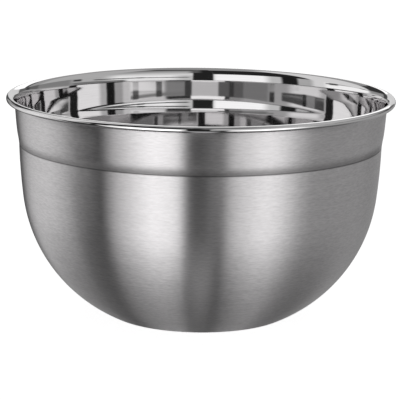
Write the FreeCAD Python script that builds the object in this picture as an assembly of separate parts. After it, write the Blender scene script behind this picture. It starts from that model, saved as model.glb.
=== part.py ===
import FreeCAD, Part
import math
import os

# A stainless steel mixing bowl with a rim rolled round a wire. Millimetres.
# The bowl stands on the plane z = 0 and is round about the z axis.
#
#   bowl_shell  one drawn sheet: base, curved wall, pressed band, lip and rolled bead
#   rim_wire    the steel wire ring inside the bead
#
# The sheet is drawn as one line, the face you see from outside, followed from the
# curled edge of the rim, over the bead, down the wall and in along the base. Each
# stretch leaves the last one in the same direction, so the sheet has no corners.
# The face you see from inside is the same line followed one thickness further in.

# ---------------------------------------------------------------- sizes

SHEET = 0.8                 # thickness of the sheet

RIM_DIAMETER = 280.0        # across the outside of the bead
HEIGHT = 159.5              # from the table to the top of the bead

BEAD = 4.5                  # outside diameter of the bead
WIRE = 2.6                  # diameter of the wire in it
CURL_GAP_DEG = 20.0         # how far short of upright the curled edge stops
LIP_RADIUS = 4.96           # the tight bend that carries the wall out to the bead
FLARE_LEAN = 14.0           # degrees the sheet leans in by under the lip
FLARE_RADIUS = 35.0         # the wide bend between the lip and the neck

# The band between the lip and the step. Each lean is in degrees, and each depth is
# how far under the bead's centre the sheet has that lean.
NECK_RADIUS = 133.65        # outside of the wall where the flare ends
NECK_LEAN = 4.4             # from there the neck runs straight,
NECK_END = 16.0             # down to here
SWELL_LEAN = 7.1            # the swell over the belly
SWELL_DEPTH = 23.0
BELLY_LEAN = 10.7           # the belly, the fullest bulge
BELLY_DEPTH = 26.3
TUCK_LEAN = 7.8             # the tuck under the belly
TUCK_DEPTH = 29.3
STEP_LEAN = 6.8             # the pressed step turns the sheet back to the wall's lean
STEP_START = 31.9
STEP_END = 32.7

WALL_LEAN = 1.4             # degrees the wall leans in by just under the step
WALL_RADIUS = 412.0         # the long, nearly straight stretch of the wall
ROUND_LEAN = 6.7            # degrees the wall leans in by where it starts to round in
ROUND_RADIUS = 110.3        # the round between the wall and the base

CORNER_RADIUS = 4.0         # the bend at the edge of the base
STAND_WIDTH = 11.0          # the flat ring that the bowl stands on
PANEL_RISE = 1.2            # the middle of the base is pressed up by this much
PANEL_BEND = 3.0            # radius of the two soft bends round the middle

# ---------------------------------------------------------------- sizes that follow

BORE = BEAD / 2 - SHEET
BEAD_X = RIM_DIAMETER / 2 - BEAD / 2
BEAD_Z = HEIGHT - BEAD / 2

# The lip's centre follows from the neck, by way of the flare between them.
FLARE_COS = math.cos(math.radians(FLARE_LEAN))
NECK_COS = math.cos(math.radians(NECK_LEAN))
LIP_X = NECK_RADIUS + FLARE_RADIUS * (NECK_COS - FLARE_COS) + LIP_RADIUS * FLARE_COS

# The lip's circle touches the bead's circle from inside, where the sheet leans by:
LIP_LEAN = math.degrees(math.acos((LIP_X - BEAD_X) / (LIP_RADIUS - BORE)))

# The two bends round the middle of the base make up its rise between them.
PANEL_SLOPE = math.degrees(math.acos(1 - PANEL_RISE / (2 * PANEL_BEND)))


class Face:
    """One face of the sheet, followed from the curled edge to the middle of the base.

    The lean is the way the line is heading: 0 is straight down, 90 is straight in
    towards the axis. Depth is how far this face lies behind the outside face.
    """

    def __init__(self, depth):
        self.depth = depth
        self.lean = 360.0 - CURL_GAP_DEG
        self.x, self.z = self.stepped(BEAD_X, BEAD_Z, -BORE)
        self.edges = []

    def outward(self, lean):
        angle = math.radians(lean)
        return math.cos(angle), -math.sin(angle)

    def stepped(self, x, z, distance, lean=None):
        """The place a distance outward from a place, square to the sheet."""
        out_x, out_z = self.outward(self.lean if lean is None else lean)
        return x + distance * out_x, z + distance * out_z

    def point(self, x, z):
        return FreeCAD.Vector(x, 0, z)

    def here(self):
        """Where the line is now, on this face."""
        return self.point(*self.stepped(self.x, self.z, -self.depth))

    def straight(self, length):
        """Carry on without turning."""
        start = self.here()
        angle = math.radians(self.lean)
        self.x -= length * math.sin(angle)
        self.z -= length * math.cos(angle)
        self.edges.append(Part.makeLine(start, self.here()))

    def bend(self, radius, lean):
        """Turn about a centre until the sheet leans this much.

        A radius above zero has its centre on the bowl's side of the sheet.
        One below zero has its centre outside.
        """
        centre = self.stepped(self.x, self.z, -radius)
        start = self.here()
        halfway = (self.lean + lean) / 2
        middle = self.point(*self.stepped(*centre, radius - self.depth, halfway))
        self.lean = lean
        self.x, self.z = self.stepped(*centre, radius)
        self.edges.append(Part.Arc(start, middle, self.here()).toShape())

    def reach(self, lean, depth):
        """Turn evenly, to lean this much at this depth under the bead's centre."""
        fall = self.z - (BEAD_Z - depth)
        turn = math.sin(math.radians(lean)) - math.sin(math.radians(self.lean))
        self.bend(fall / turn, lean)

    def follow(self):
        """The whole line."""
        # Bead, lip and flare.
        self.bend(-BORE, LIP_LEAN)
        self.bend(-LIP_RADIUS, FLARE_LEAN)
        self.bend(-FLARE_RADIUS, NECK_LEAN)

        # Band and step: a straight neck, a belly that bulges out under it, a tuck
        # that eases the lean again, and the step.
        self.straight((self.z - (BEAD_Z - NECK_END)) / NECK_COS)
        self.reach(SWELL_LEAN, SWELL_DEPTH)
        self.reach(BELLY_LEAN, BELLY_DEPTH)
        self.reach(TUCK_LEAN, TUCK_DEPTH)
        self.reach(STEP_LEAN, STEP_START)
        self.reach(WALL_LEAN, STEP_END)

        # Wall, and the round that carries it in to the base. The round stops where
        # the bend at the edge of the base will just reach the table.
        self.bend(WALL_RADIUS, ROUND_LEAN)
        centre_z = self.z + ROUND_RADIUS * math.sin(math.radians(ROUND_LEAN))
        corner = (centre_z - CORNER_RADIUS) / (ROUND_RADIUS - CORNER_RADIUS)
        self.bend(ROUND_RADIUS, math.degrees(math.asin(corner)))
        self.bend(CORNER_RADIUS, 90)

        # Base: the stand ring, the soft rise inside it and the flat middle.
        self.straight(STAND_WIDTH)
        self.bend(PANEL_BEND, 90 + PANEL_SLOPE)
        self.bend(-PANEL_BEND, 90)
        self.straight(self.x)
        return self.edges


def bowl_shell():
    """The sheet, turned a full circle."""
    outside = Face(0.0).follow()
    inside = Face(SHEET).follow()
    edge = Part.makeLine(outside[0].Vertexes[0].Point, inside[0].Vertexes[0].Point)
    middle = Part.makeLine(outside[-1].Vertexes[-1].Point, inside[-1].Vertexes[-1].Point)
    outline = Part.Wire(Part.__sortEdges__(outside + inside + [edge, middle]))
    return Part.Face(outline).revolve(FreeCAD.Vector(0, 0, 0), FreeCAD.Vector(0, 0, 1), 360)


def rim_wire():
    """A plain ring, butted and hidden in the bead. It lies free in the curl."""
    return Part.makeTorus(BEAD_X, WIRE / 2, FreeCAD.Vector(0, 0, BEAD_Z))


def litres(shell):
    """What the bowl holds, brim full, for checking the sizes against each other."""
    block = Part.makeCylinder(BEAD_X, HEIGHT - 0.01, FreeCAD.Vector(0, 0, 0.01))
    pieces = block.cut(shell).Solids
    hollow = [s for s in pieces if s.isInside(FreeCAD.Vector(0, 0, HEIGHT / 2), 0.01, True)]
    return hollow[0].Volume / 1e6


nodes = {"bowl_shell": bowl_shell(), "rim_wire": rim_wire()}

os.makedirs("parts", exist_ok=True)
for name, shape in nodes.items():
    shape.exportStep("parts/" + name + ".step")
    box = shape.optimalBoundingBox(False, False)
    print(
        name, shape.ShapeType, "valid", shape.isValid(), "solids", len(shape.Solids),
        "size %.2f x %.2f x %.2f" % (box.XLength, box.YLength, box.ZLength),
        "z %.3f to %.3f" % (box.ZMin, box.ZMax), "volume %.0f mm3" % shape.Volume,
    )
print("holds %.2f litres" % litres(nodes["bowl_shell"]))
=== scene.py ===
# %% [markdown]
# # A stainless steel mixing bowl
#
# The bowl is one round sheet of steel, pressed deep, with its rim rolled round a
# wire. Three things make it look like itself: a clean turned shape, an outside
# brushed round and round so that light smears into tall stripes, and a mirror
# inside that shows the studio and the bowl's own far wall. This lesson builds the
# shape first, then the finishes, then the studio that both of them reflect.

# %% Load the measured frame
import math

import bmesh
import bpy
from mathutils import Euler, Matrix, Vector


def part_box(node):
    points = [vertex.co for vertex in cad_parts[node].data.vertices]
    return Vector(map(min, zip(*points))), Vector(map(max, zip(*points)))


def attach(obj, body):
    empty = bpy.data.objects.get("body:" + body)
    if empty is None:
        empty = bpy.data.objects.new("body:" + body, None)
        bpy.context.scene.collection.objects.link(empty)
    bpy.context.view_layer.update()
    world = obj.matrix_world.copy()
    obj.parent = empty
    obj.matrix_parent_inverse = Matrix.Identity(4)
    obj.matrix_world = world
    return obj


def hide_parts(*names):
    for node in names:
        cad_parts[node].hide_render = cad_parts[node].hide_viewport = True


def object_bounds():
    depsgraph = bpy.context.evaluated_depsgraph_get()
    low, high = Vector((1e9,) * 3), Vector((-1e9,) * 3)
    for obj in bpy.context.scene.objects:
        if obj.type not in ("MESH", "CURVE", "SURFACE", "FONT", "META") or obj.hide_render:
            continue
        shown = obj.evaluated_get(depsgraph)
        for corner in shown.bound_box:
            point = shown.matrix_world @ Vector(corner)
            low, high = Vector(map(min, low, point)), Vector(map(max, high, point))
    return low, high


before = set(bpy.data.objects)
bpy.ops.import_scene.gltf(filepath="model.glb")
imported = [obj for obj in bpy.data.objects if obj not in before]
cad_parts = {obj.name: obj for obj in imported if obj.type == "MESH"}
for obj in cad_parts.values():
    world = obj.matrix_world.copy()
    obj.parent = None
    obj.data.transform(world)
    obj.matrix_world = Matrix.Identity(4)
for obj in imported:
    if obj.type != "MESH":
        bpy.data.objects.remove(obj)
cad_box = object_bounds()

# %% [markdown]
# ## Sizes
#
# The frame is the engineer's model, in metres. The rim's width, the height and the
# wire are read from it. The bends of the sheet are given in millimetres, as a press
# shop would write them, each in the cell that first needs it.

# %% Sizes from the frame
MM = 0.001
shell_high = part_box("bowl_shell")[1]
wire_low, wire_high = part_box("rim_wire")
RIM_RADIUS = shell_high.x
HEIGHT = shell_high.z
WIRE = wire_high.z - wire_low.z
BEAD_Z = (wire_high.z + wire_low.z) / 2
BEAD = 2 * (HEIGHT - BEAD_Z)
BEAD_X = RIM_RADIUS - BEAD / 2
SHEET = 0.8 * MM
BORE = BEAD / 2 - SHEET
print(f"rim {RIM_RADIUS * 2000:.1f} mm across, {HEIGHT * 1000:.1f} mm tall, bead {BEAD * 1000:.2f} mm")

# %% [markdown]
# ## The section of the sheet
#
# A turned object is a line swept round an axis. The line could be a curve object
# with a Screw modifier, or typed in as a list of points. Here it grows from one
# vertex: `spin` turns that vertex about a centre and leaves a chain of edges
# behind, which is just how a press tool is drawn, one radius after another. The
# line is the face of the sheet that you see from outside. It starts at the curled
# edge inside the bead, and `lean` says which way it is heading: 0 is straight
# down, 90 is straight in to the axis.

# %% A pen that draws the section
HOLD = 0.4 * MM    # the short edge at each end of a straight run


class SectionPen:
    def __init__(self, bm, x, z, lean):
        self.bm, self.lean = bm, lean
        self.tip = bm.verts.new((x, 0, z))

    def outward(self):
        a = math.radians(self.lean)
        return Vector((math.cos(a), 0, -math.sin(a)))

    def bend(self, radius, lean, steps):
        """Turn until the sheet leans this much.

        The centre of a radius below zero lies outside the bowl.
        """
        done = bmesh.ops.spin(
            self.bm, geom=[self.tip], cent=self.tip.co - radius * self.outward(),
            axis=(0, 1, 0), angle=math.radians(lean - self.lean), steps=steps,
        )
        self.tip = [e for e in done["geom_last"] if isinstance(e, bmesh.types.BMVert)][0]
        self.lean = lean

    def reach(self, lean, depth, steps):
        """Turn evenly, to lean this much at this depth under the middle of the bead."""
        fall = self.tip.co.z - (BEAD_Z - depth)
        turn = math.sin(math.radians(lean)) - math.sin(math.radians(self.lean))
        self.bend(fall / turn, lean, steps)

    def straight(self, length):
        """Run straight on, with a short edge at each end that keeps the flat part flat."""
        a = math.radians(self.lean)
        heading = Vector((-math.sin(a), 0, -math.cos(a)))
        for part in (HOLD, length - 2 * HOLD, HOLD):
            done = bmesh.ops.extrude_vert_indiv(self.bm, verts=[self.tip])
            self.tip = done["verts"][0]
            self.tip.co += heading * part

    def report(self, place):
        x, z = self.tip.co.x * 1000, self.tip.co.z * 1000
        print(f"{place}: {x:.2f} mm from the axis, {z:.2f} mm up, leaning {self.lean:.1f} degrees")


# %% [markdown]
# The rim comes first. The bead is a circle round the wire, and the lip is a wider
# arc that touches that circle from inside, so the two run together with no kink.
# Where they touch follows from their radii. A much wider arc, the flare, eases the
# lip down into the neck of the bowl.

# %% Draw the rim
CURL_LEAN = 340.0
LIP_RADIUS = 4.96 * MM
FLARE_RADIUS = 35.0 * MM
FLARE_LEAN = 14.0
NECK_X = 133.65 * MM
NECK_LEAN = 4.4

flare, neck, curl = (math.radians(lean) for lean in (FLARE_LEAN, NECK_LEAN, CURL_LEAN))
lip_x = NECK_X + FLARE_RADIUS * (math.cos(neck) - math.cos(flare)) + LIP_RADIUS * math.cos(flare)
lip_lean = math.degrees(math.acos((lip_x - BEAD_X) / (LIP_RADIUS - BORE)))

sheet = bmesh.new()
pen = SectionPen(sheet, BEAD_X - BORE * math.cos(curl), BEAD_Z + BORE * math.sin(curl), CURL_LEAN)
pen.report("the curled edge")
pen.bend(-BORE, lip_lean, steps=26)
pen.report("where the lip meets the bead")
pen.bend(-LIP_RADIUS, FLARE_LEAN, steps=12)
pen.bend(-FLARE_RADIUS, NECK_LEAN, steps=10)
pen.report("the neck")

# %% [markdown]
# Under the neck the band swells into a belly and tucks in again. It leans by a few
# degrees more or less, which hardly shows in the outline, but the mirror inside
# makes rings of it: each ring shows the room again, one way up or the other. The
# step then turns the sheet nearly upright within a millimetre. `reach` draws all
# of this: it bends the sheet evenly until it has a given lean at a given depth.

# %% Draw the band and the step
NECK_END = 16.0 * MM

# The lean of the sheet in degrees, and how far under the middle of the bead it is.
SWELL = (7.1, 23.0 * MM)
BELLY = (10.7, 26.3 * MM)
TUCK = (7.8, 29.3 * MM)
STEP_TOP = (6.8, 31.9 * MM)
STEP_FOOT = (1.4, 32.7 * MM)

pen.straight((pen.tip.co.z - (BEAD_Z - NECK_END)) / math.cos(neck))
for lean, depth in (SWELL, BELLY, TUCK, STEP_TOP, STEP_FOOT):
    pen.reach(lean, depth, steps=6)
pen.report("the foot of the step")

# %% [markdown]
# The wall begins as a very slow bend, and a round carries it in to the base. That
# round is cut off where the small bend at the edge of the base just touches the
# table. The bowl stands on a flat ring, and the middle is pressed up a little by
# two soft bends, so that the bowl can't rock.

# %% Draw the wall and the base
WALL_RADIUS = 412.0 * MM
ROUND_LEAN = 6.7
ROUND_RADIUS = 110.3 * MM
CORNER_RADIUS = 4.0 * MM
STAND_WIDTH = 11.0 * MM
PANEL_RISE = 1.2 * MM
PANEL_BEND = 3.0 * MM

pen.bend(WALL_RADIUS, ROUND_LEAN, steps=10)
round_z = pen.tip.co.z + ROUND_RADIUS * math.sin(math.radians(ROUND_LEAN))
foot_lean = math.degrees(math.asin((round_z - CORNER_RADIUS) / (ROUND_RADIUS - CORNER_RADIUS)))
pen.bend(ROUND_RADIUS, foot_lean, steps=48)
pen.bend(CORNER_RADIUS, 90, steps=8)
pen.report("the edge of the base")
panel_slope = math.degrees(math.acos(1 - PANEL_RISE / (2 * PANEL_BEND)))
pen.straight(STAND_WIDTH)
pen.bend(PANEL_BEND, 90 + panel_slope, steps=6)
pen.bend(-PANEL_BEND, 90, steps=6)
pen.straight(pen.tip.co.x)
pen.report("the middle of the base")
print("points in the section", len(sheet.verts))

# %% [markdown]
# ## Turning the section into a bowl
#
# `spin` again, this time all the way round the z axis. `use_merge` joins the last
# copy to the first, and merging doubles closes the pole at the middle of the base.
# `solidify` then gives the skin its thickness. It comes after the normals are set
# right, since it works along them, and the faces it makes are the inside of the
# bowl and all that shows of the bead: those get the second finish, the mirror.

# %% Spin, close the pole and give the sheet its thickness
TURNS = 256
SATIN_SLOT, MIRROR_SLOT = 0, 1

bmesh.ops.spin(
    sheet, geom=sheet.verts[:] + sheet.edges[:], cent=(0, 0, 0), axis=(0, 0, 1),
    angle=math.tau, steps=TURNS, use_merge=True,
)
bmesh.ops.remove_doubles(sheet, verts=sheet.verts, dist=1e-6)
bmesh.ops.recalc_face_normals(sheet, faces=sheet.faces)
lowest = min(sheet.faces, key=lambda face: face.calc_center_median().z)
if lowest.normal.z > 0:
    bmesh.ops.reverse_faces(sheet, faces=sheet.faces)
outer_faces = set(sheet.faces)
bmesh.ops.solidify(sheet, geom=sheet.faces[:], thickness=SHEET)
for face in sheet.faces:
    face.smooth = True
    face.material_index = SATIN_SLOT if face in outer_faces else MIRROR_SLOT
print("faces", len(sheet.faces), "outside", len(outer_faces))

# %% [markdown]
# A finished piece is a mesh object at the origin, and it says which body it rides on. All of the sheet is
# shaded smooth but its cut edge, which turns much more sharply than any bend and is marked sharp.

# %% Make it an object
SHARPEST_BEND = 50.0


def piece_from(bm, name):
    """A finished piece, at the origin, riding on the bowl's one body."""
    mesh = bpy.data.meshes.new(name)
    bm.to_mesh(mesh)
    bm.free()
    piece = bpy.data.objects.new(name, mesh)
    bpy.context.scene.collection.objects.link(piece)
    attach(piece, "root")
    return piece


bowl = piece_from(sheet, "bowl_sheet")
bowl.data.set_sharp_from_angle(angle=math.radians(SHARPEST_BEND))
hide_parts("bowl_shell")
print("bowl", [round(d * 1000, 2) for d in bowl.dimensions], "mm")

# %% [markdown]
# ## The wire in the rim
#
# The wire is nearly hidden: it shows only as a sliver in the gap of the curl, from
# below. A torus would do from the menu. In mesh code it is a small circle, turned
# up into the plane of the section, moved out to the rim and spun round the axis.

# %% The wire ring
wire_ring = bmesh.new()
upright = Euler((math.pi / 2, 0, 0)).to_matrix()
bmesh.ops.create_circle(wire_ring, segments=20, radius=WIRE / 2)
bmesh.ops.rotate(wire_ring, verts=wire_ring.verts, cent=(0, 0, 0), matrix=upright)
bmesh.ops.translate(wire_ring, verts=wire_ring.verts, vec=(wire_high.x - WIRE / 2, 0, BEAD_Z))
bmesh.ops.spin(
    wire_ring, geom=wire_ring.verts[:] + wire_ring.edges[:], cent=(0, 0, 0), axis=(0, 0, 1),
    angle=math.tau, steps=192, use_merge=True,
)
bmesh.ops.recalc_face_normals(wire_ring, faces=wire_ring.faces)
for face in wire_ring.faces:
    face.smooth = True
wire = piece_from(wire_ring, "rim_wire_ring")
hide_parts("rim_wire")
print("wire", [round(d * 1000, 2) for d in wire.dimensions], "mm")

# %% [markdown]
# ## A helper for node trees
#
# The finishes below are made of many small sums on coordinates. This helper makes
# a node in one call and wires its inputs, so that each finish reads like a formula.

# %% Making and wiring nodes in one call
class Net:
    """A material's or a world's node tree."""

    def __init__(self, tree):
        self.tree = tree

    def put(self, socket, value):
        """Wire a socket to another one, or set it to a constant."""
        if isinstance(value, bpy.types.NodeSocket):
            self.tree.links.new(value, socket)
        else:
            socket.default_value = value

    def node(self, kind, **settings):
        made = self.tree.nodes.new(kind)
        for key, value in settings.items():
            setattr(made, key, value)
        return made

    def math(self, operation, *values):
        made = self.node("ShaderNodeMath", operation=operation)
        for socket, value in zip(made.inputs, values):
            self.put(socket, value)
        return made.outputs[0]

    def vector(self, x, y, z):
        made = self.node("ShaderNodeCombineXYZ")
        for socket, value in zip(made.inputs, (x, y, z)):
            self.put(socket, value)
        return made.outputs[0]

    def split(self, vector):
        made = self.node("ShaderNodeSeparateXYZ")
        self.put(made.inputs[0], vector)
        return made.outputs


# %% [markdown]
# A Map Range node with a smooth step is a soft edge, and two of those make a stretch
# with soft ends: the dull strip over the step is one, and so is each panel of the
# studio. A ramp gives a grey that follows a list of stops.

# %% Soft edges and greys
def blend(net, low, high, value):
    """0 below low, 1 above high and a soft S between them."""
    made = net.node("ShaderNodeMapRange", interpolation_type="SMOOTHSTEP")
    for key, number in (("Value", value), ("From Min", low), ("From Max", high)):
        net.put(made.inputs[key], number)
    return made.outputs["Result"]


def edge(net, place, softness, value):
    """0 before a place and 1 past it."""
    return blend(net, place - softness, place + softness, value)


def ramp(net, value, stops):
    """A grey that follows the stops, given as (position, brightness)."""
    made = net.node("ShaderNodeValToRGB")
    points = made.color_ramp.elements
    while len(points) < len(stops):
        points.new(1.0)
    for point, (position, grey) in zip(points, stops):
        point.position = position
        point.color = (grey, grey, grey, 1)
    net.put(made.inputs["Fac"], value)
    return made.outputs["Color"]


# %% [markdown]
# A finish needs three things more: noise to draw its marks with, a colour that
# moves between two with those marks, and a bump that tilts the light off them.

# %% Marks, colours and dents
def noise(net, vector, scale, detail=2.0):
    made = net.node("ShaderNodeTexNoise")
    for key, value in (("Vector", vector), ("Scale", scale), ("Detail", detail)):
        net.put(made.inputs[key], value)
    return made.outputs["Fac"]


def between(net, first, second, amount):
    """The first colour where the amount is 0, and the second where it is 1."""
    made = net.node("ShaderNodeMixRGB")
    for socket, value in zip(made.inputs, (amount, first, second)):
        net.put(socket, value)
    return made.outputs[0]


def relief(net, height, strength, distance):
    """A normal that makes the surface look dented, with no change to its shape."""
    made = net.node("ShaderNodeBump")
    for key, value in (("Height", height), ("Strength", strength), ("Distance", distance)):
        net.put(made.inputs[key], value)
    return made.outputs[0]


def finish(name):
    """A new metal, with its shader and its net."""
    material = bpy.data.materials.new(name)
    material.use_nodes = True
    shader = material.node_tree.nodes["Principled BSDF"]
    shader.inputs["Metallic"].default_value = 1.0
    return material, shader, Net(material.node_tree)


# %% [markdown]
# ## Coordinates that follow a turned surface
#
# Brush marks on a spun bowl run round it. In the object's own coordinates that
# means: hardly any change round the axis, and very quick change along the section.
# The direction round the axis is given as a cosine and a sine, which have no seam,
# and the way along the section as radius plus height, which grows all the way from
# the middle of the base to the rim.

# %% Round the bowl and along the section
POLE = 0.5 * MM


def turned_coordinates(net):
    """Where a point is, with the sums held off from the pole, where the radius is zero."""
    place = net.node("ShaderNodeTexCoord").outputs["Object"]
    x, y, z = net.split(place)
    radius = net.math("SQRT", net.math("ADD", net.math("MULTIPLY", x, x), net.math("MULTIPLY", y, y)))
    safe = net.math("MAXIMUM", radius, POLE)
    return {
        "place": place, "z": z, "along": net.math("ADD", radius, z),
        "cos": net.math("DIVIDE", x, safe), "sin": net.math("DIVIDE", y, safe),
    }


def brush_marks(net, at, round_scale, along_scale, detail=2.0):
    """Noise drawn out into lines that run round the bowl."""
    drawn = net.vector(
        net.math("MULTIPLY", at["cos"], round_scale), net.math("MULTIPLY", at["sin"], round_scale),
        net.math("MULTIPLY", at["along"], along_scale),
    )
    return noise(net, drawn, 1.0, detail)


# %% [markdown]
# ## Satin brushed steel
#
# A belt was held against the turning bowl and left fine grooves that run round it.
# Grooves scatter light across themselves and hardly along themselves, so a lamp
# smears into a tall stripe. The shader calls that anisotropy, and a radial tangent
# about z tells it which way the grooves run. Deeper and wider marks are drawn as
# noise: they vary the roughness and the tone a little and give a very shallow bump.

# %% The marks of the belt
FINE_SHARE, BROAD_SHARE = 0.7, 0.3

satin, shader, net = finish("satin_brushed_steel")
at = turned_coordinates(net)
fine = brush_marks(net, at, round_scale=30.0, along_scale=1100.0)
broad = brush_marks(net, at, round_scale=3.0, along_scale=420.0, detail=3.0)
marks = net.math("ADD", net.math("MULTIPLY", fine, FINE_SHARE), net.math("MULTIPLY", broad, BROAD_SHARE))
cloud = noise(net, at["place"], scale=14.0)
tangent = net.node("ShaderNodeTangent", direction_type="RADIAL", axis="Z")
net.put(shader.inputs["Tangent"], tangent.outputs[0])
net.put(shader.inputs["Normal"], relief(net, marks, strength=0.25, distance=0.04 * MM))
shader.inputs["Anisotropic"].default_value = 1.0
shader.inputs["Anisotropic Rotation"].default_value = 0.25
print(satin.name, "has marks of two sizes, in", len(satin.node_tree.nodes), "nodes so far")

# %% [markdown]
# The belt can't reach well into the corner over the step, so the last few millimetres of the band are
# rougher. Their colour is also darkened there, which is painted shade, and a thin grey line along the step
# itself is painted shade in the crease. Both follow the depth under the bead.

# %% The dull strip and the line at the step, both with painted shade
STRIP_START, STRIP_FULL = 25.5 * MM, 31.5 * MM
STRIP_PAINTED_SHADE, LINE_PAINTED_SHADE = 0.20, 0.45

under_bead = net.math("SUBTRACT", BEAD_Z, at["z"])
over_step = net.math("SUBTRACT", 1.0, edge(net, STEP_TOP[1] + 0.5 * MM, 0.2 * MM, under_bead))
dull_and_shaded = net.math("MULTIPLY", blend(net, STRIP_START, STRIP_FULL, under_bead), over_step)
past_top = edge(net, STEP_TOP[1], 0.4 * MM, under_bead)
past_foot = edge(net, STEP_FOOT[1] + 0.1 * MM, 0.4 * MM, under_bead)
shaded_line = net.math("SUBTRACT", past_top, past_foot)
# The strip and the line darken the colour: this is painted shade at the step.
strip_shade_factor = net.math("SUBTRACT", 1.0, net.math("MULTIPLY", dull_and_shaded, STRIP_PAINTED_SHADE))
painted_shade_factor = net.math("SUBTRACT", strip_shade_factor, net.math("MULTIPLY", shaded_line, LINE_PAINTED_SHADE))
print("the line lies", round(STEP_TOP[1] * 1000, 1), "mm under the middle of the bead")

# %% [markdown]
# Now the two things that the marks act on. The roughness decides how wide the stripes are. The colour is a
# steel grey with a touch of warmth, darker in the grooves, and it is scaled down along the strip and the
# line as painted shade.

# %% Roughness and colour of the outside
SMOOTHEST = 0.27
MARKS_ROUGHEN, CLOUD_ROUGHENS, STRIP_ROUGHENS = 0.10, 0.03, 0.20
GROOVE_STEEL = (0.428, 0.418, 0.422, 1)
RIDGE_STEEL = (0.935, 0.915, 0.924, 1)

from_marks = net.math("MULTIPLY", marks, MARKS_ROUGHEN)
from_cloud = net.math("MULTIPLY", cloud, CLOUD_ROUGHENS)
from_strip = net.math("MULTIPLY", dull_and_shaded, STRIP_ROUGHENS)
brushed = net.math("ADD", net.math("ADD", from_marks, from_cloud), SMOOTHEST)
net.put(shader.inputs["Roughness"], net.math("ADD", brushed, from_strip))
tone = between(net, GROOVE_STEEL, RIDGE_STEEL, marks)
# Scaling the colour down here paints shade over the step.
shade = net.node("ShaderNodeVectorMath", operation="SCALE")
net.put(shade.inputs[0], tone)
net.put(shade.inputs["Scale"], painted_shade_factor)
net.put(shader.inputs["Base Color"], shade.outputs[0])
bowl.data.materials.append(satin)
print(satin.name, "is done, with", len(satin.node_tree.nodes), "nodes")

# %% [markdown]
# ## Mirror-polished steel
#
# The inside and the bead are buffed until they show a clear picture. No pressed
# sheet is perfectly even, so a very slow, very shallow wave bends the reflections,
# and faint hairlines from the mop run round the bowl.

# %% The inside finish
CLEAREST, HAIR_ROUGHENS = 0.02, 0.03
DIM_STEEL = (0.728, 0.719, 0.723, 1)
BRIGHT_STEEL = (0.806, 0.797, 0.801, 1)

mirror, shader, net = finish("mirror_polished_steel")
at = turned_coordinates(net)
hair = brush_marks(net, at, round_scale=3.0, along_scale=900.0, detail=3.0)
wave = noise(net, at["place"], scale=18.0, detail=1.0)
from_hair = net.math("MULTIPLY", hair, HAIR_ROUGHENS)
net.put(shader.inputs["Roughness"], net.math("ADD", from_hair, CLEAREST))
net.put(shader.inputs["Base Color"], between(net, DIM_STEEL, BRIGHT_STEEL, hair))
net.put(shader.inputs["Normal"], relief(net, wave, strength=0.3, distance=0.2 * MM))
bowl.data.materials.append(mirror)
print("the bowl's finishes", [material.name for material in bowl.data.materials])

# %% [markdown]
# ## Drawn wire
#
# Wire is pulled through a die, so its scratches run along it. Round a ring, along
# it means round the bowl, so the same coordinates serve.

# %% The wire's finish
WIRE_SMOOTHEST, SCRATCHES_ROUGHEN = 0.25, 0.2
SCRATCHED_WIRE = (0.42, 0.42, 0.43, 1)
CLEAN_WIRE = (0.58, 0.58, 0.58, 1)

drawn, shader, net = finish("drawn_steel_wire")
at = turned_coordinates(net)
scratches = brush_marks(net, at, round_scale=4.0, along_scale=5000.0)
from_scratches = net.math("MULTIPLY", scratches, SCRATCHES_ROUGHEN)
net.put(shader.inputs["Roughness"], net.math("ADD", from_scratches, WIRE_SMOOTHEST))
net.put(shader.inputs["Base Color"], between(net, SCRATCHED_WIRE, CLEAN_WIRE, scratches))
wire.data.materials.append(drawn)
print("the wire's finish", drawn.name)

# %% [markdown]
# ## The table
#
# A pale sheet that runs out of the picture on every side. It glows a little, like
# a light table, so that the bowl's shadow on it stays soft and faint. The steel
# doesn't show it: what the steel sees below the rim is drawn in the room instead.

# %% The table
TABLE_REACH = 9.0
TABLE_GAP = 0.2 * MM

ground = bmesh.new()
bmesh.ops.create_grid(ground, x_segments=2, y_segments=2, size=TABLE_REACH)
mesh = bpy.data.meshes.new("table")
ground.to_mesh(mesh)
ground.free()
table = bpy.data.objects.new("table", mesh)
bpy.context.scene.collection.objects.link(table)
table.location.z = cad_box[0][2] - TABLE_GAP
table.visible_glossy = False

pale = bpy.data.materials.new("pale_table")
pale.use_nodes = True
shader = pale.node_tree.nodes["Principled BSDF"]
shader.inputs["Base Color"].default_value = (0.5, 0.5, 0.5, 1)
shader.inputs["Roughness"].default_value = 0.9
shader.inputs["Specular IOR Level"].default_value = 0.0
shader.inputs["Emission Color"].default_value = (1, 1, 1, 1)
shader.inputs["Emission Strength"].default_value = 0.86
table.data.materials.append(pale)
print("the table is", round(2 * TABLE_REACH), "metres wide")

# %% [markdown]
# ## The studio
#
# Steel has hardly any colour of its own: what it shows is the room. The room
# could be built from lamps and card, but a mirror needs the whole room, so it is
# drawn in the world instead, by compass direction and height. `bearing` is in
# degrees, 0 towards the camera, right above zero, 180 behind the bowl. `height` is
# in degrees above the level of the rim.

# %% Compass direction and height
world = bpy.data.worlds.new("studio")
bpy.context.scene.world = world
world.use_nodes = True
net = Net(world.node_tree)
x, y, z = net.split(net.node("ShaderNodeTexCoord").outputs["Generated"])
bearing = net.math("DEGREES", net.math("ARCTAN2", x, net.math("MULTIPLY", y, -1.0)))
height = net.math("DEGREES", net.math("ARCSINE", z))
print("world", world.name)

# %% [markdown]
# Everything above the level of the rim is a panel: a stretch of bearings and a
# stretch of heights with one brightness and soft edges. Later panels cover earlier
# ones, as flats on a stage do. The inside of the bowl shows them three times over:
# straight, upside down in the belly of the band, and once more low on the far wall.

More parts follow.
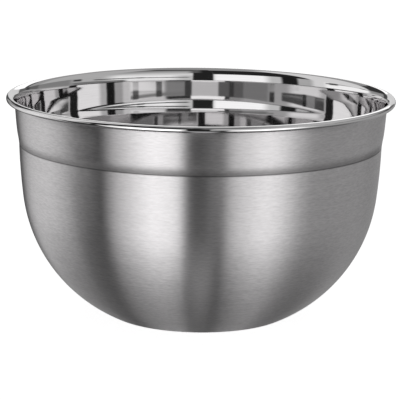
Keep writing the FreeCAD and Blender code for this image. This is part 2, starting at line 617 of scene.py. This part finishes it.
# %% A panel
def panel(room, left, right, bottom, top, light, side_soft=1.5, edge_soft=1.0):
    """Cover part of the room with one brightness."""
    across = net.math("SUBTRACT", edge(net, left, side_soft, bearing), edge(net, right, side_soft, bearing))
    upright = net.math("SUBTRACT", edge(net, bottom, edge_soft, height), edge(net, top, edge_soft, height))
    covered = net.math("MULTIPLY", across, upright)
    return net.math("ADD", room, net.math("MULTIPLY", covered, net.math("SUBTRACT", light, room)))


# %% [markdown]
# The panels follow in the order in which they are hung. Each row gives the bearings
# of its left and right side, the heights of its bottom and top, and its brightness,
# where 1 is white paper. The last two numbers say how soft its sides and its bottom
# and top are. The pale wall on the right is lit from below, so it has a ramp of
# brightness instead of a single one.

# %% Panels above the rim
UP = 95        # just past straight up
ROUND = 185    # just past straight behind
LEVEL = 0      # level with the rim
ROOM = 0.34    # the brightness between the panels

# From 0, level with the rim, to 1, straight up.
lit_wall = ramp(net, net.math("DIVIDE", height, 90.0), [
    (0.0, 0.90), (0.13, 1.05), (0.19, 0.72), (0.27, 0.52),
    (0.42, 0.42), (0.58, 0.30), (0.66, 0.06), (0.78, 0.06),
])
panels = [
    # The right: walls that get dimmer further round.
    (50, 128, LEVEL, UP, 0.50, 6),
    (0, 62, LEVEL, UP, lit_wall, 8),
    (0, 16, LEVEL, 14, 0.62, 6),
    (50, 92, LEVEL, 6, 0.20, 3),
    # A dark rail along them, with a paler length and a black joint.
    (8, 74, 8.1, 9.8, 0.08, 2, 0.35),
    (24, 37, 8.1, 9.8, 0.30, 1.5, 0.35),
    (38, 43, 8.0, 10.0, 0.02, 1, 0.35),
    # The far right: a wall with a dark shelf under it, and a black box.
    (92, ROUND, LEVEL, 14, 0.26, 4),
    (128, ROUND, 14, UP, 0.36, 8),
    (126, ROUND, LEVEL, 14, 0.15, 2),
    (84, 91, 8, 12, 0.05),
    # Behind the bowl, right half: a pale sill, the window over it and a black post.
    (158, ROUND, LEVEL, 14, 0.72),
    (149, ROUND, 14, 50, 1.35, 1),
    (143, 149, 13, 30, 0.06),
    (138, 144, LEVEL, 12, 0.06),
    # Behind the bowl, left half: the same window and sill, a black flat and a post.
    (-ROUND, -167, 14, 50, 1.35, 1),
    (-ROUND, -168, LEVEL, 14, 0.72),
    (-167, -134, 13, 30, 0.04),
    (-168, -159, LEVEL, 13, 0.07),
    # The left: a bright wall that fades forwards, with a slot of darker things in it.
    (-134, -76, LEVEL, UP, 0.80, 4),
    (-132, -88, 2, 13, 1.12, 3),
    (-159, -88, 9, 11.3, 0.27, 1),
    (-130, -122, 8, 12, 0.09),
    (-99, -91, 8, 12, 0.10),
    (-76, -60, LEVEL, UP, 0.48, 4),
    # The front left: the soft box, the black drape over it and the black stand beside it.
    (-58, -8, 1, 20, 1.16, 3),
    (-58, -44, 1, 20, 0.62, 4),
    (-76, -7, 17.5, 66, 0.02, 2),
    (-66, -54, -4, 24, 0.015),
    # The gap in front, where the camera stands.
    (-8, 5.5, -6, 80, 0.02, 0.8),
    (1, 8, 24, 80, 0.12, 3),
    # The ceiling over everything.
    (-ROUND, ROUND, 72, UP, ROOM, 1.5, 3),
]
above = ROOM
for numbers in panels:
    above = panel(above, *numbers)
print("panels above the rim", len(panels), "nodes", len(world.node_tree.nodes))

# %% [markdown]
# Below the rim the satin outside blurs everything up and down, so there the room
# is only a ring of brightness round the table and a fade towards the table top.

# %% The ring round the table
def compass(stops):
    """Stops given in degrees of bearing, turned into ramp positions."""
    return [(degrees / 360 + 0.5, value) for degrees, value in stops]


turn = net.math("ADD", net.math("DIVIDE", bearing, 360.0), 0.5)
lamp_ring = ramp(net, turn, compass([
    # Behind and on the left.
    (-180, 0.03), (-156, 0.06), (-142, 0.70), (-122, 0.85), (-110, 0.95), (-100, 0.80), (-92, 0.55),
    # The dark stripe on the left, the bright one beside it and the dark one in front.
    (-86, 0.03), (-63, 0.02), (-59, 0.90), (-46, 1.60), (-30, 2.75), (-14, 2.35), (-10, 0.75), (-7, 0.02),
    # The bright stripe on the right, and the grey beyond it.
    (15, 0.02), (18, 0.90), (24, 1.35), (42, 2.15), (54, 1.65), (66, 0.80), (76, 0.42),
    (140, 0.36), (172, 0.30), (180, 0.03),
]))
print("stops in the ring", len(lamp_ring.node.color_ramp.elements))

# %% [markdown]
# Further down, the ring fades into the faint glow of the table. A pale patch lies
# in front of the bowl, and the table is darker on both sides and behind. Straight
# down, under the bowl itself, little light is left.

# %% From the ring down to the table
GLOW = 0.07                # the table's own brightness
LEFT_IN_THE_DARK = 0.2     # what is left of it straight down
DOWN = -90                 # straight down

in_the_ring = blend(net, -55.0, -23.0, height)
table_glow = net.math("MULTIPLY", net.math("SUBTRACT", 1.0, in_the_ring), GLOW)
under = net.math("ADD", net.math("MULTIPLY", lamp_ring, in_the_ring), table_glow)
patches = [
    # The pale patch in front.
    (-10, 14, -86, -45, 0.60, 2, 8),
    # The dark table on the left, and further up behind it.
    (-ROUND, -66, DOWN, -36, 0.12, 6, 8),
    (-ROUND, -98, DOWN, -27, 0.14, 8, 8),
    # The dark table on the right.
    (66, ROUND, DOWN, -40, 0.12, 6, 8),
]
for numbers in patches:
    under = panel(under, *numbers)
clear_of_the_foot = net.math("MULTIPLY", blend(net, DOWN, -66.0, height), 1 - LEFT_IN_THE_DARK)
below = net.math("MULTIPLY", under, net.math("ADD", clear_of_the_foot, LEFT_IN_THE_DARK))
print("patches on the table", len(patches))

# %% [markdown]
# The two halves meet at the level of the rim. The camera itself sees plain white
# behind the bowl, as in front of a lit screen.

# %% Hand the room to the world
WHITE = (1, 1, 1, 1)

at_rim = blend(net, -4.0, 1.0, height)
room = net.math("ADD", below, net.math("MULTIPLY", at_rim, net.math("SUBTRACT", above, below)))
camera_sees = net.node("ShaderNodeLightPath").outputs["Is Camera Ray"]
backdrop = world.node_tree.nodes["Background"]
net.put(backdrop.inputs["Color"], between(net, room, WHITE, camera_sees))
backdrop.inputs["Strength"].default_value = 1.0
print("nodes in the room", len(world.node_tree.nodes))

# %% [markdown]
# ## The camera
#
# A long lens from about 1.4 metres away, looking down on the rim by nine degrees,
# so that the bowl shows its whole outside and a slice of its inside. At the two
# ends of that slice light runs round the mirror in many short hops, so it may
# bounce ten times off steel before it is given up for lost.

# %% The camera
CAMERA_BACK = 1.377
CAMERA_OVER_RIM = 0.2140
ROLL = 0.7

lens = bpy.data.cameras.new("camera")
lens.sensor_width = 36.0
lens.lens = 173.6
lens.clip_start = 0.01
camera = bpy.data.objects.new("camera", lens)
bpy.context.scene.collection.objects.link(camera)
bpy.context.scene.camera = camera
camera.location = (0.0, -CAMERA_BACK, HEIGHT + CAMERA_OVER_RIM)
aim = Vector((0.18 * MM, 0.0, 81.50 * MM))
look = (aim - camera.location).to_track_quat("-Z", "Y")
camera.rotation_euler = (look @ Euler((0, 0, math.radians(ROLL))).to_quaternion()).to_euler()
bpy.context.scene.view_settings.view_transform = "Standard"
bpy.context.scene.cycles.glossy_bounces = 10
print(f"the camera stands {(aim - camera.location).length:.2f} m from the middle of the bowl")

# %% [markdown]
# ## The last step
#
# The view layer is brought up to date.

# %% Bring the view layer up to date
bpy.context.view_layer.update()
